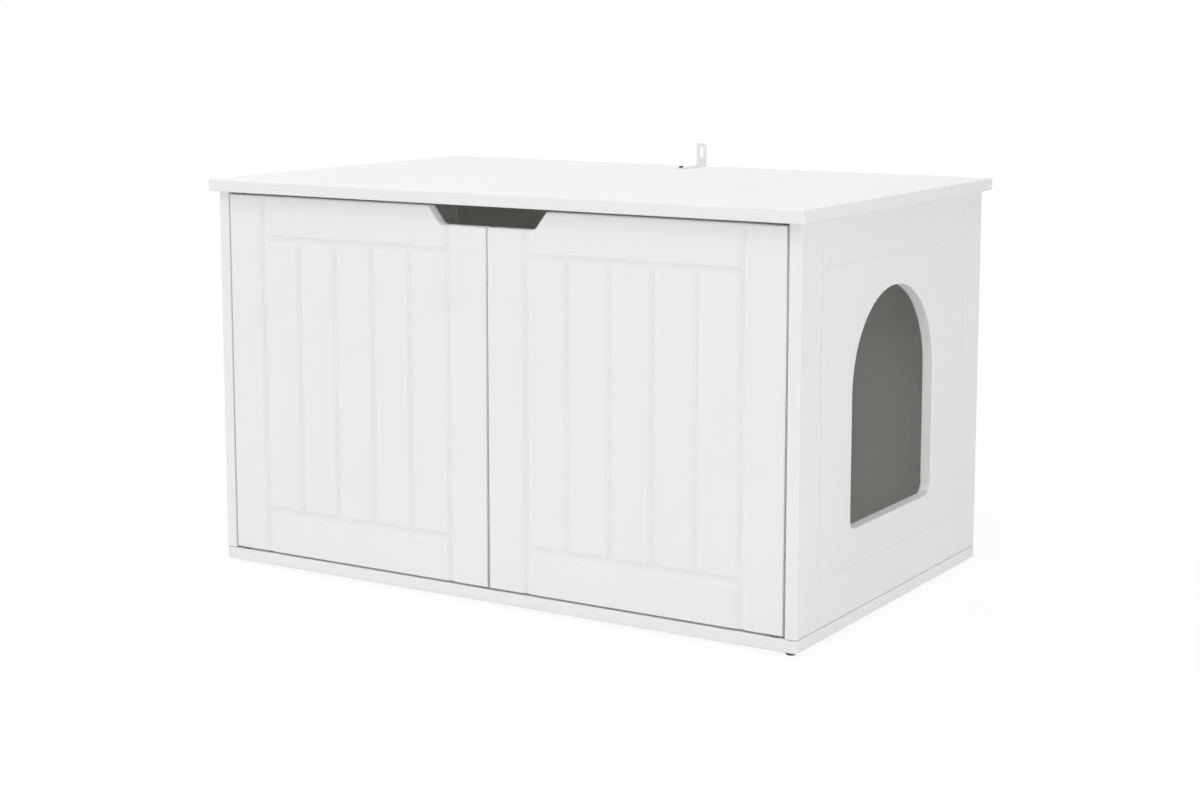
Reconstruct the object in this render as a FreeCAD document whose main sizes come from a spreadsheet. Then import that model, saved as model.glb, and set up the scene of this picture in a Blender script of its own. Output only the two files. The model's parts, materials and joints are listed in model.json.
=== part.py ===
# A white two-door pet cabinet with an arched entry in its right side.
# Origin: middle of the top's footprint, on the floor. Front faces -Y, +Z is up. Millimetres.
import FreeCAD
import Part
import Sketcher
import math
import os
import re

# Driving sizes
sizes = {
    # top, base and sides
    "top_width": 835,
    "top_depth": 535,
    "top_thickness": 15,
    "side_overhang": 8,
    "front_overhang": 11,
    "rear_overhang": 14,
    "base_thickness": 15,
    "side_height": 460,
    "side_thickness": 15,
    "edge_radius": 1.5,
    # back panel in its grooves
    "back_thickness": 4,
    "back_setback": 8,
    "back_groove_depth": 6,
    "back_play": 0.1,
    # arched entry
    "arch_width": 230,
    "arch_height": 271,
    "arch_sill": 97,
    "arch_centre": 249.5,
    "arch_corner_radius": 13,
    "arch_rim_radius": 2,
    # doors
    "door_thickness": 15,
    "door_gap": 2,
    "door_top_gap": 3.5,
    "door_bottom_gap": 2.3,
    "door_edge_radius": 2,
    # routed frame and planks
    "frame_width": 54,
    "routing_cutter_diameter": 20,
    "door_routing_depth": 2,
    "side_routing_depth": 0.4,
    # finger cutout shared by the doors
    "finger_top_width": 167,
    "finger_bottom_width": 134,
    "finger_depth": 22,
    "finger_corner_radius": 10,
    "finger_lip_radius": 3,
    # door pivots
    "pivot_inset": 13,
    "pin_diameter": 5,
    "pin_hold": 22,
    "pin_reach": 8,
    "pin_chamfer": 0.5,
    "bush_diameter": 8,
    "bush_depth": 10,
    "bush_flange_diameter": 12,
    "pivot_float": 0.2,
    "running_gap": 0.05,
    # magnetic catches and strike plates
    "catch_offset": 150,
    "catch_width": 46,
    "catch_depth": 15,
    "catch_height": 16,
    "catch_ear_length": 9,
    "catch_ear_thickness": 3,
    "magnet_width": 20,
    "magnet_depth": 10,
    "magnet_height": 5,
    "pole_thickness": 1.2,
    "pole_reach": 1.5,
    "catch_air": 0.3,
    "strike_width": 16,
    "strike_height": 24,
    "strike_thickness": 1.2,
    "strike_margin": 1,
    "strike_screw_share": 0.72,
    "strike_corner_radius": 2,
    # small wood screws
    "screw_diameter": 3,
    "screw_grip": 10,
    "screw_head_diameter": 6,
    "screw_head_height": 1.8,
    "screw_head_chamfer": 0.6,
    "screw_hole_play": 0.7,
    "recess_span": 3.4,
    "recess_width": 0.9,
    "recess_depth": 1,
    # cam joints between top and sides
    "cam_setback": 80,
    "cam_drop": 24,
    "cam_diameter": 15,
    "cam_thickness": 12,
    "cam_chamber": 7.4,
    "cam_recess_span": 8,
    "cam_cap_diameter": 17,
    "cam_cap_thickness": 1.2,
    "cam_bolt_head_diameter": 6.6,
    "cam_bolt_head_length": 2.4,
    "cam_bolt_neck_diameter": 4.4,
    "cam_bolt_thread_diameter": 6,
    "cam_bolt_grip": 10,
    "cam_bolt_way_diameter": 8,
    # dowels and base screws
    "dowel_setback": 150,
    "dowel_diameter": 8,
    "dowel_in_panel": 10,
    "dowel_in_side": 20,
    "dowel_chamfer": 1,
    "base_screw_setback": 80,
    "base_screw_head_diameter": 10,
    "base_screw_head_height": 3,
    "base_screw_shank_diameter": 7,
    "base_screw_core_diameter": 5,
    "base_screw_grip": 35,
    "base_screw_point": 3,
    "base_screw_recess_span": 7,
    # floor glides
    "glide_height": 4.5,
    "glide_diameter": 14,
    "glide_foot_diameter": 11,
    "glide_rim_height": 2.5,
    "glide_inset": 13,
    "left_glide_setback": 23,
    "nail_diameter": 2,
    "nail_grip": 11,
    "nail_point": 2,
    "nail_head_diameter": 5,
    "nail_head_height": 1,
    "nail_head_lift": 1,
    # wall bracket
    "bracket_width": 15,
    "bracket_thickness": 1.5,
    "bracket_leg": 66,
    "bracket_height": 31,
    "bracket_shift": -3.5,
    "bracket_bend_radius": 1.5,
    "bracket_corner_radius": 3,
    "bracket_slot_width": 5,
    "bracket_slot_length": 15,
    "bracket_slot_lift": 19.5,
    "bracket_screw_inset": 8,
    # fits and cuts
    "fixed_gap": 0.05,
    "overrun": 1,
}
same_spot = 0.0001
plank_count = 5

document = FreeCAD.newDocument("pet_cabinet")
sheet = document.addObject("Spreadsheet::Sheet", "sizes")
for row, (alias, value) in enumerate(sizes.items(), start=1):
    sheet.set(f"A{row}", alias)
    sheet.set(f"B{row}", str(value))
    sheet.setAlias(f"B{row}", alias)
document.recompute()

# Sizes that follow from the driving ones, as formulas
carcass_width = "(top_width - 2 * side_overhang)"
carcass_depth = "(top_depth - front_overhang - rear_overhang)"
inner_width = f"({carcass_width} - 2 * side_thickness)"
carcass_left = f"(-{carcass_width} / 2)"
carcass_front = "(front_overhang - top_depth / 2)"
base_face = "(glide_height + base_thickness)"
top_underside = f"({base_face} + side_height)"
top_face = f"({top_underside} + top_thickness)"
door_width = f"(({inner_width} - 3 * door_gap) / 2)"
door_height = "(side_height - door_bottom_gap - door_top_gap)"
door_low = f"({base_face} + door_bottom_gap)"
door_high = f"({door_low} + {door_height})"
pivot_from_carcass = "(side_thickness + door_gap + pivot_inset)"
pivot_from_front = "(door_thickness / 2)"
back_groove_rear = f"({carcass_depth} - back_setback + back_play)"
back_groove_front = f"({back_groove_rear} - back_thickness - 2 * back_play)"
pole_front = f"({carcass_front} + door_thickness + strike_thickness + catch_air)"
catch_front = f"({pole_front} + pole_reach)"
magnet_stack = "(magnet_height + 2 * pole_thickness)"


def formula(text):
    return re.sub(r"[a-z][a-z_]+", lambda word: "sizes." + word.group(0), str(text))


def place(item, x, y, z):
    for axis, text in zip("xyz", (x, y, z)):
        item.setExpression(f".Placement.Base.{axis}", formula(text))


def new_body(label):
    body = document.addObject("PartDesign::Body", label)
    body.Label = label
    return body


# Sketches: every point is tied to a formula

def sketch_in(body, name, role, lift=0):
    plane = next(item for item in body.Origin.OriginFeatures if item.Role == role)
    sketch = body.newObject("Sketcher::SketchObject", f"{body.Label}_{name}")
    sketch.AttachmentSupport = [(plane, "")]
    sketch.MapMode = "FlatFace"
    sketch.setExpression(".AttachmentOffset.Base.z", formula(lift))
    return sketch


def tie_point(sketch, curve, end, across, up):
    spot = sketch.getPoint(curve, end)
    for kind, text, now in (("DistanceX", across, spot.x), ("DistanceY", up, spot.y)):
        index = sketch.addConstraint(Sketcher.Constraint(kind, curve, end, now))
        sketch.setExpression(f"Constraints[{index}]", formula(text))


def polygon(sketch, corners):
    count = len(corners)
    first = sketch.GeometryCount
    turns = [2 * math.pi * step / count for step in range(count)]
    rough = [FreeCAD.Vector(math.cos(turn), math.sin(turn), 0) for turn in turns]
    for step in range(count):
        sketch.addGeometry(Part.LineSegment(rough[step], rough[(step + 1) % count]))
    for step, (across, up) in enumerate(corners):
        follower = first + (step + 1) % count
        sketch.addConstraint(Sketcher.Constraint("Coincident", first + step, 2, follower, 1))
        tie_point(sketch, first + step, 1, across, up)


def rectangle(sketch, low, high):
    polygon(sketch, [low, (high[0], low[1]), high, (low[0], high[1])])


def circles(sketch, centres, diameter):
    for across, up in centres:
        rough = Part.Circle(FreeCAD.Vector(0, 0, 0), FreeCAD.Vector(0, 0, 1), 1)
        curve = sketch.addGeometry(rough)
        index = sketch.addConstraint(Sketcher.Constraint("Diameter", curve, 2 * rough.Radius))
        sketch.setExpression(f"Constraints[{index}]", formula(diameter))
        tie_point(sketch, curve, 3, across, up)


def round_topped(sketch, left, right, low, spring):
    # Up one side, over a half circle and down the other
    rough = [FreeCAD.Vector(x, y, 0) for x, y in ((-1, 0), (-1, -1), (1, -1), (1, 0))]
    for start, end in zip(rough, rough[1:]):
        sketch.addGeometry(Part.LineSegment(start, end))
    circle = Part.Circle(FreeCAD.Vector(0, 0, 0), FreeCAD.Vector(0, 0, 1), 1)
    sketch.addGeometry(Part.ArcOfCircle(circle, 0, math.pi))
    for curve in range(4):
        sketch.addConstraint(Sketcher.Constraint("Coincident", curve, 2, (curve + 1) % 4, 1))
    spots = [(left, spring), (left, low), (right, low), (right, spring)]
    for curve, (across, up) in enumerate(spots):
        tie_point(sketch, curve, 1, across, up)
    index = sketch.addConstraint(Sketcher.Constraint("DistanceY", 3, 3, 0))
    sketch.setExpression(f"Constraints[{index}]", formula(spring))


# Features: a pad adds, a pocket has to take something away

def pad(body, sketch, length, reverse=False):
    feature = body.newObject("PartDesign::Pad", f"{sketch.Name}_pad")
    feature.Profile = sketch
    feature.setExpression("Length", formula(length))
    feature.Reversed = reverse
    return feature


def pocket(body, sketch, length, reverse=False):
    document.recompute()
    before = body.Shape.Volume
    feature = body.newObject("PartDesign::Pocket", f"{sketch.Name}_pocket")
    feature.Profile = sketch
    feature.setExpression("Length", formula(length))
    feature.Reversed = reverse
    document.recompute()
    if not body.Shape.Volume < before:
        raise ValueError(f"{feature.Name} cuts nothing")
    return feature


def round_edges(body, name, radius, chosen):
    document.recompute()
    base = body.Tip
    edges = enumerate(base.Shape.Edges, start=1)
    names = [f"Edge{index}" for index, edge in edges if chosen(edge)]
    feature = body.newObject("PartDesign::Fillet", f"{body.Label}_{name}")
    feature.Base = (base, names)
    feature.setExpression("Radius", formula(radius))
    return feature


def round_corners(body, name, radius, sketch, corners):
    document.recompute()
    spots = [sketch.getPoint(corner, 1) for corner in corners]
    flatten = sketch.Placement.inverse()

    def stands_on_corner(edge):
        ends = [flatten.multVec(vertex.Point) for vertex in edge.Vertexes]
        return any(
            all(math.hypot(end.x - spot.x, end.y - spot.y) < same_spot for end in ends)
            for spot in spots
        )

    return round_edges(body, name, radius, stands_on_corner)


def turned(label, profile):
    # A piece made on a lathe: half its section, as radius and height, turned about Z
    body = new_body(label)
    sketch = sketch_in(body, "profile", "XZ_Plane")
    polygon(sketch, profile)
    feature = body.newObject("PartDesign::Revolution", f"{label}_turn")
    feature.Profile = sketch
    feature.ReferenceAxis = (sketch, ["V_Axis"])
    feature.Angle = 360
    return body


def driver_recess(body, role, span, lift, reverse):
    # A cross for a screwdriver, cut inwards from the face at this lift
    arm = f"({span} / 2)"
    half = "(recess_width / 2)"
    quarter = [(arm, f"-{half}"), (arm, half), (half, half)]
    corners = []
    for _ in range(4):
        corners += quarter
        quarter = [(f"-({up})", across) for across, up in quarter]
    sketch = sketch_in(body, "recess", role, lift)
    polygon(sketch, corners)
    pocket(body, sketch, "recess_depth", reverse)


def group(label, pattern, spots, turns=None):
    # Separate copies of one piece in one node
    turns = turns or [FreeCAD.Rotation()] * len(spots)
    copies = []
    for index, (spot, turn) in enumerate(zip(spots, turns), start=1):
        copy = document.addObject("App::Link", f"{label}_{index}")
        copy.LinkedObject = pattern
        copy.Placement = FreeCAD.Placement(FreeCAD.Vector(), turn)
        place(copy, *spot)
        copies.append(copy)
    node = document.addObject("Part::Compound", label)
    node.Label = label
    node.Links = copies
    return node


def one(label, pattern, spot, turn=None):
    return group(label, pattern, [spot], [turn or FreeCAD.Rotation()])


# Routed lines, cut by a round-nosed cutter

def routed_lines(body, name, role, lift, length, reverse, lines, across_first, face, inward, depth):
    # The cutter's middle stays outside the face, and its nose reaches the depth
    middle = f"({face} - {inward} * (routing_cutter_diameter / 2 - {depth}))"
    sketch = sketch_in(body, name, role, lift)
    spots = [(line, middle) if across_first else (middle, line) for line in lines]
    circles(sketch, spots, "routing_cutter_diameter")
    pocket(body, sketch, length, reverse)


# Places that pieces share, measured from the carcass's left, front and right

def both_ends(setback):
    return [setback, f"({carcass_depth} - {setback})"]


side_middles = ["(side_thickness / 2)", f"({carcass_width} - side_thickness / 2)"]
pivot_lines = [pivot_from_carcass, f"({carcass_width} - {pivot_from_carcass})"]
catch_lines = [f"({carcass_width} / 2 - catch_offset)", f"({carcass_width} / 2 + catch_offset)"]
ear_screw = "(catch_width / 2 - catch_ear_length / 2)"
catch_screw_lines = [f"({line} {sign} {ear_screw})" for line in catch_lines for sign in "-+"]
catch_screw_depth = f"({catch_front} - {carcass_front} + catch_depth / 2)"


def in_carcass(spots):
    # From places on the carcass's plan to places in the part's frame
    return [(f"{carcass_left} + {x}", f"{carcass_front} + {y}") for x, y in spots]


def grid(columns, rows):
    return [(x, y) for x in columns for y in rows]


cam_plan = grid(side_middles, both_ends("cam_setback"))
dowel_plan = grid(side_middles, both_ends("dowel_setback"))
base_screw_plan = grid(side_middles, both_ends("base_screw_setback"))
pivot_plan = grid(pivot_lines, [pivot_from_front])
catch_screw_plan = grid(catch_screw_lines, [catch_screw_depth])
glide_plan = [
    *grid(["glide_inset"], both_ends("left_glide_setback")),
    *grid([f"({carcass_width} - glide_inset)"], both_ends("glide_inset")),
]


def drilled(body, name, role, lift, plan, diameter, depth, reverse):
    sketch = sketch_in(body, name, role, lift)
    circles(sketch, plan, f"{diameter} + 2 * fixed_gap")
    pocket(body, sketch, depth, reverse)


def board(label, width, depth, thickness):
    body = new_body(label)
    sketch = sketch_in(body, "outline", "XY_Plane")
    rectangle(sketch, (0, 0), (width, depth))
    pad(body, sketch, thickness)
    round_edges(body, "eased_edges", "edge_radius", lambda edge: True)
    return body


def back_groove_across(body, lift, shift_x, shift_y, reverse):
    # Holds the top or bottom edge of the back panel
    sketch = sketch_in(body, "back_groove", "XY_Plane", lift)
    reach = "(side_thickness - back_groove_depth)"
    rectangle(
        sketch,
        (f"{shift_x} + {reach}", f"{shift_y} + {back_groove_front}"),
        (f"{shift_x} + {carcass_width} - {reach}", f"{shift_y} + {back_groove_rear}"),
    )
    pocket(body, sketch, "back_groove_depth", reverse)


def top_panel():
    body = board("top_panel", "top_width", "top_depth", "top_thickness")
    back_groove_across(body, 0, "side_overhang", "front_overhang", True)
    bracket_screw_spot = (
        "top_width / 2 + bracket_shift",
        "top_depth - bracket_leg + bracket_screw_inset",
    )

    def under(plan):
        return [(f"side_overhang + {x}", f"front_overhang + {y}") for x, y in plan]

    drills = [
        ("cam_bolt_holes", under(cam_plan), "cam_bolt_thread_diameter", "cam_bolt_grip"),
        ("dowel_holes", under(dowel_plan), "dowel_diameter", "dowel_in_panel"),
        ("pivot_holes", under(pivot_plan), "bush_diameter", "bush_depth"),
        ("catch_holes", under(catch_screw_plan), "screw_diameter", "screw_grip"),
    ]
    for name, plan, diameter, depth in drills:
        drilled(body, name, "XY_Plane", 0, plan, diameter, depth, True)
    drilled(body, "bracket_hole", "XY_Plane", "top_thickness",
            [bracket_screw_spot], "screw_diameter", "screw_grip", False)
    place(body, "-top_width / 2", "-top_depth / 2", top_underside)
    return body


def base_panel():
    body = board("base_panel", carcass_width, carcass_depth, "base_thickness")
    back_groove_across(body, "base_thickness", 0, 0, False)
    drilled(body, "dowel_holes", "XY_Plane", "base_thickness",
            dowel_plan, "dowel_diameter", "dowel_in_panel", False)
    drilled(body, "pivot_holes", "XY_Plane", "base_thickness",
            pivot_plan, "bush_diameter", "bush_depth", False)
    drilled(body, "screw_holes", "XY_Plane", 0,
            base_screw_plan, "base_screw_shank_diameter", "base_thickness", True)
    drilled(body, "screw_head_holes", "XY_Plane", 0,
            base_screw_plan, "base_screw_head_diameter", "base_screw_head_height", True)
    drilled(body, "nail_holes", "XY_Plane", 0, glide_plan, "nail_diameter", "nail_grip", True)
    place(body, carcass_left, carcass_front, "glide_height")
    return body


def side_panel(label, on_left, with_arch):
    # Local x is 0 on the panel's left face; from_outside counts from its outer face
    def from_outside(distance):
        return distance if on_left else f"side_thickness - {distance}"

    inner_face = from_outside("side_thickness")
    inward = "1" if on_left else "-1"
    outer_face = from_outside("0")
    body = new_body(label)
    outline = sketch_in(body, "outline", "YZ_Plane")
    rectangle(outline, (0, 0), (carcass_depth, "side_height"))
    pad(body, outline, "side_thickness")
    round_edges(body, "eased_edges", "edge_radius", lambda edge: True)
    if with_arch:
        arch_entry(body)

    # Routed frame on the outer face
    stiles = ["frame_width", f"({carcass_depth} - frame_width)"]
    rails = ["frame_width", "(side_height - frame_width)"]
    cut = (outer_face, inward, "side_routing_depth")
    routed_lines(body, "stile_lines", "XY_Plane", "-overrun", "side_height + 2 * overrun", True,
                 stiles, False, *cut)
    routed_lines(body, "rail_lines", "XZ_Plane", "-frame_width", f"{carcass_depth} - 2 * frame_width", False,
                 rails, False, *cut)

    # Groove for the back panel on the inner face
    groove = sketch_in(body, "back_groove", "XY_Plane", "-overrun")
    corners = [
        (f"{inner_face} - {inward} * back_groove_depth", back_groove_front),
        (f"{inner_face} + {inward} * overrun", back_groove_rear),
    ]
    rectangle(groove, *corners)
    pocket(body, groove, "side_height + 2 * overrun", True)

    # Joint holes: cams from the inner face, bolts, dowels and screws into the edges
    middle = "side_thickness / 2"
    cam_rows = [(y, "side_height - cam_drop") for y in both_ends("cam_setback")]
    drilled(body, "cam_holes", "YZ_Plane", "side_thickness" if on_left else 0,
            cam_rows, "cam_diameter", "cam_thickness", not on_left)
    edge_drills = [
        ("bolt_ways", "side_height", "cam_setback", "cam_bolt_way_diameter", "cam_drop", False),
        ("top_dowel_holes", "side_height", "dowel_setback", "dowel_diameter", "dowel_in_side", False),
        ("base_dowel_holes", 0, "dowel_setback", "dowel_diameter", "dowel_in_side", True),
        ("base_screw_holes", 0, "base_screw_setback", "base_screw_core_diameter", "base_screw_grip", True),
    ]
    for name, lift, setback, diameter, depth, reverse in edge_drills:
        plan = grid([middle], both_ends(setback))
        drilled(body, name, "XY_Plane", lift, plan, diameter, depth, reverse)
    x = carcass_left if on_left else f"-{carcass_left} - side_thickness"
    place(body, x, carcass_front, base_face)
    return body


def arch_entry(body):
    # Straight jambs under a half circle, with rounded lower corners and rim
    sketch = sketch_in(body, "arch", "YZ_Plane", "-overrun")
    half = "(arch_width / 2)"
    round_topped(
        sketch,
        f"arch_centre - {half}",
        f"arch_centre + {half}",
        "arch_sill",
        f"arch_sill + arch_height - {half}",
    )
    pocket(body, sketch, "side_thickness + 2 * overrun", True)
    round_corners(body, "arch_corners", "arch_corner_radius", sketch, (1, 2))
    document.recompute()
    frame = sketch.Shape.BoundBox

    def on_rim(edge):
        box = edge.BoundBox
        across = frame.YMin - same_spot < box.YMin and box.YMax < frame.YMax + same_spot
        up = frame.ZMin - same_spot < box.ZMin and box.ZMax < frame.ZMax + same_spot
        return across and up and box.XLength < same_spot

    round_edges(body, "arch_rim", "arch_rim_radius", on_rim)


def back_panel():
    body = new_body("back_panel")
    tuck = "(back_groove_depth - back_play)"
    sketch = sketch_in(body, "outline", "XZ_Plane")
    rectangle(sketch, (0, 0), (f"{inner_width} + 2 * {tuck}", f"side_height + 2 * {tuck}"))
    pad(body, sketch, "back_thickness", True)
    place(
        body,
        f"{carcass_left} + side_thickness - {tuck}",
        f"{carcass_front} + {back_groove_front} + back_play",
        f"{base_face} - {tuck}",
    )
    return body


def door(label, on_left):
    # Local x runs from the door's left edge; from_hinge counts from its pivot edge
    def from_hinge(distance):
        return distance if on_left else f"({door_width} - {distance})"

    def from_free_edge(distance):
        return from_hinge(f"({door_width} - ({distance}))")

    body = new_body(label)
    outline = sketch_in(body, "outline", "XZ_Plane")
    cut_low = f"({door_height} - finger_depth)"
    polygon(outline, [
        (from_hinge("0"), 0),
        (from_free_edge("0"), 0),
        (from_free_edge("0"), cut_low),
        (from_free_edge("(finger_bottom_width - door_gap) / 2"), cut_low),
        (from_free_edge("(finger_top_width - door_gap) / 2"), door_height),
        (from_hinge("0"), door_height),
    ])
    pad(body, outline, "door_thickness", True)
    round_corners(body, "finger_corner", "finger_corner_radius", outline, [3])
    round_corners(body, "finger_lips", "finger_lip_radius", outline, [2, 4])
    round_edges(body, "eased_edges", "door_edge_radius",
                lambda edge: edge.BoundBox.YLength < same_spot)

    # Routed stiles run the full height, rails and planks between them
    stiles = ["frame_width", f"({door_width} - frame_width)"]
    rails = ["frame_width", f"({door_height} - frame_width)"]
    field = f"({door_width} - 2 * frame_width)"
    planks = [f"(frame_width + {field} * {n} / {plank_count})" for n in range(1, plank_count)]
    cut = ("0", "1", "door_routing_depth")
    routed_lines(body, "stile_lines", "XY_Plane", "-overrun", f"{door_height} + 2 * overrun", True,
                 stiles, True, *cut)
    routed_lines(body, "rail_lines", "YZ_Plane", "frame_width", field, True,
                 rails, False, *cut)
    routed_lines(body, "plank_lines", "XY_Plane", "frame_width", f"{door_height} - 2 * frame_width", True,
                 planks, True, *cut)

    # Pivot pin holes in both ends, pilot hole of the strike plate's screw in the back
    pin_spot = [(from_hinge("pivot_inset"), pivot_from_front)]
    drilled(body, "upper_pin_hole", "XY_Plane", door_height,
            pin_spot, "pin_diameter", "pin_hold", False)
    drilled(body, "lower_pin_hole", "XY_Plane", 0, pin_spot, "pin_diameter", "pin_hold", True)
    strike_line = from_free_edge("catch_offset - door_gap / 2")
    strike_spot = (strike_line, f"{door_height} - {strike_screw_drop}")
    drilled(body, "strike_screw_hole", "XZ_Plane", "-door_thickness",
            [strike_spot], "screw_diameter", "screw_grip", True)
    x = f"{carcass_left} + side_thickness + door_gap" if on_left else "door_gap / 2"
    place(body, x, carcass_front, door_low)
    return body


# Door pivots

pin_length_upper = "(pin_hold + door_top_gap + pin_reach)"
pin_length_lower = "(pin_hold + door_bottom_gap + pin_reach)"


def pivot_pin(label, length):
    radius = "pin_diameter / 2"
    return turned(label, [
        (0, 0),
        (f"{radius} - pin_chamfer", 0),
        (radius, "pin_chamfer"),
        (radius, f"{length} - pin_chamfer"),
        (f"{radius} - pin_chamfer", length),
        (0, length),
    ])


def pivot_bush(label, gap, flange_up):
    # A sleeve sunk in the board, with a flange that fills the gap beside the door
    flange = f"({gap} - pivot_float)"
    total = f"(bush_depth + {flange})"

    def rise(height):
        return height if flange_up else f"({total} - {height})"

    bore = "pin_diameter / 2 + running_gap"
    return turned(label, [
        (bore, rise("0")),
        ("bush_diameter / 2", rise("0")),
        ("bush_diameter / 2", rise("bush_depth")),
        ("bush_flange_diameter / 2", rise("bush_depth")),
        ("bush_flange_diameter / 2", rise(total)),
        (bore, rise(total)),
    ])


def door_pivots():
    nodes = []
    for side, spot in zip(("left", "right"), in_carcass(pivot_plan)):
        upper_pin = pivot_pin(f"{side}_upper_pivot_pin", pin_length_upper)
        place(upper_pin, *spot, f"{door_high} - pin_hold")
        lower_pin = pivot_pin(f"{side}_lower_pivot_pin", pin_length_lower)
        place(lower_pin, *spot, f"{base_face} - pin_reach")
        upper_bush = pivot_bush(f"{side}_upper_pivot_bush", "door_top_gap", False)
        place(upper_bush, *spot, f"{top_underside} - door_top_gap + pivot_float")
        lower_bush = pivot_bush(f"{side}_lower_pivot_bush", "door_bottom_gap", True)
        place(lower_bush, *spot, f"{base_face} - bush_depth")
        nodes += [upper_pin, lower_pin, upper_bush, lower_bush]
    return nodes


# Magnetic catches, strike plates and their screws

strike_screw_drop = "(strike_margin + strike_height * strike_screw_share)"


def wood_screw(label, plate):
    # Head below, shank up through a plate and into the wood
    head = "screw_head_diameter / 2"
    shank = "screw_diameter / 2"
    body = turned(label, [
        (0, 0),
        (f"{head} - screw_head_chamfer", 0),
        (head, "screw_head_chamfer"),
        (head, "screw_head_height"),
        (shank, "screw_head_height"),
        (shank, f"screw_head_height + {plate} + screw_grip - screw_diameter / 2"),
        (0, f"screw_head_height + {plate} + screw_grip"),
    ])
    driver_recess(body, "XY_Plane", "recess_span", 0, True)
    return body


def catch_housing(label, line):
    body = new_body(label)
    ear_low = "(catch_height - catch_ear_thickness)"
    block_end = "(catch_width - catch_ear_length)"
    outline = sketch_in(body, "outline", "XZ_Plane")
    polygon(outline, [
        (0, ear_low),
        ("catch_ear_length", ear_low),
        ("catch_ear_length", 0),
        (block_end, 0),
        (block_end, ear_low),
        ("catch_width", ear_low),
        ("catch_width", "catch_height"),
        (0, "catch_height"),
    ])
    pad(body, outline, "catch_depth", True)
    mouth = sketch_in(body, "mouth", "XZ_Plane")
    half_wide = "(magnet_width / 2 + fixed_gap)"
    half_high = f"({magnet_stack} / 2 + fixed_gap)"
    rectangle(
        mouth,
        (f"catch_width / 2 - {half_wide}", f"catch_height / 2 - {half_high}"),
        (f"catch_width / 2 + {half_wide}", f"catch_height / 2 + {half_high}"),
    )
    pocket(body, mouth, "magnet_depth")
    holes = sketch_in(body, "screw_holes", "XY_Plane", ear_low)
    ears = ["catch_ear_length / 2", "catch_width - catch_ear_length / 2"]
    circles(holes, [(x, "catch_depth / 2") for x in ears], "screw_diameter + screw_hole_play")
    pocket(body, holes, "catch_ear_thickness", True)
    x = f"{carcass_left} + {line} - catch_width / 2"
    place(body, x, catch_front, f"{top_underside} - catch_height")
    return body


def magnet_block(label, width, depth, height):
    body = document.addObject("Part::Box", label)
    body.Label = label
    for size, text in (("Length", width), ("Width", depth), ("Height", height)):
        body.setExpression(size, formula(text))
    return body


def magnetic_catches():
    nodes = []
    middle = f"({top_underside} - catch_height / 2)"
    plate = magnet_block("pole_plate", "magnet_width", "magnet_depth + pole_reach", "pole_thickness")
    for side, line in zip(("left", "right"), catch_lines):
        x = f"{carcass_left} + {line} - magnet_width / 2"
        magnet = magnet_block(f"{side}_catch_magnet", "magnet_width", "magnet_depth", "magnet_height")
        place(magnet, x, catch_front, f"{middle} - magnet_height / 2")
        levels = [f"{middle} + magnet_height / 2", f"{middle} - {magnet_stack} / 2"]
        poles = group(f"{side}_catch_pole_plates", plate, [(x, pole_front, level) for level in levels])
        nodes += [catch_housing(f"{side}_catch_housing", line), magnet, poles]
    screw = wood_screw("catch_screw", "catch_ear_thickness")
    head_low = f"{top_underside} - catch_ear_thickness - screw_head_height"
    spots = [(*spot, head_low) for spot in in_carcass(catch_screw_plan)]
    nodes.append(group("catch_screws", screw, spots))
    return nodes


def strike_plate(label, line):
    body = new_body(label)
    outline = sketch_in(body, "outline", "XZ_Plane")
    rectangle(outline, (0, 0), ("strike_width", "strike_height"))
    pad(body, outline, "strike_thickness", True)
    round_corners(body, "corners", "strike_corner_radius", outline, range(4))
    hole = sketch_in(body, "screw_hole", "XZ_Plane")
    hole_up = "strike_height * (1 - strike_screw_share)"
    circles(hole, [("strike_width / 2", hole_up)], "screw_diameter + screw_hole_play")
    pocket(body, hole, "strike_thickness")
    place(
        body,
        f"{carcass_left} + {line} - strike_width / 2",
        f"{carcass_front} + door_thickness",
        f"{door_high} - strike_margin - strike_height",
    )
    return body


def strikes():
    nodes = []
    screw = wood_screw("strike_screw", "strike_thickness")
    to_front = FreeCAD.Rotation(FreeCAD.Vector(1, 0, 0), 90)
    head_rear = f"{carcass_front} + door_thickness + strike_thickness + screw_head_height"
    for side, line in zip(("left", "right"), catch_lines):
        spot = (f"{carcass_left} + {line}", head_rear, f"{door_high} - {strike_screw_drop}")
        nodes += [
            strike_plate(f"{side}_strike_plate", line),
            one(f"{side}_strike_screw", screw, spot, to_front),
        ]
    return nodes


# Carcass joints

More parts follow.
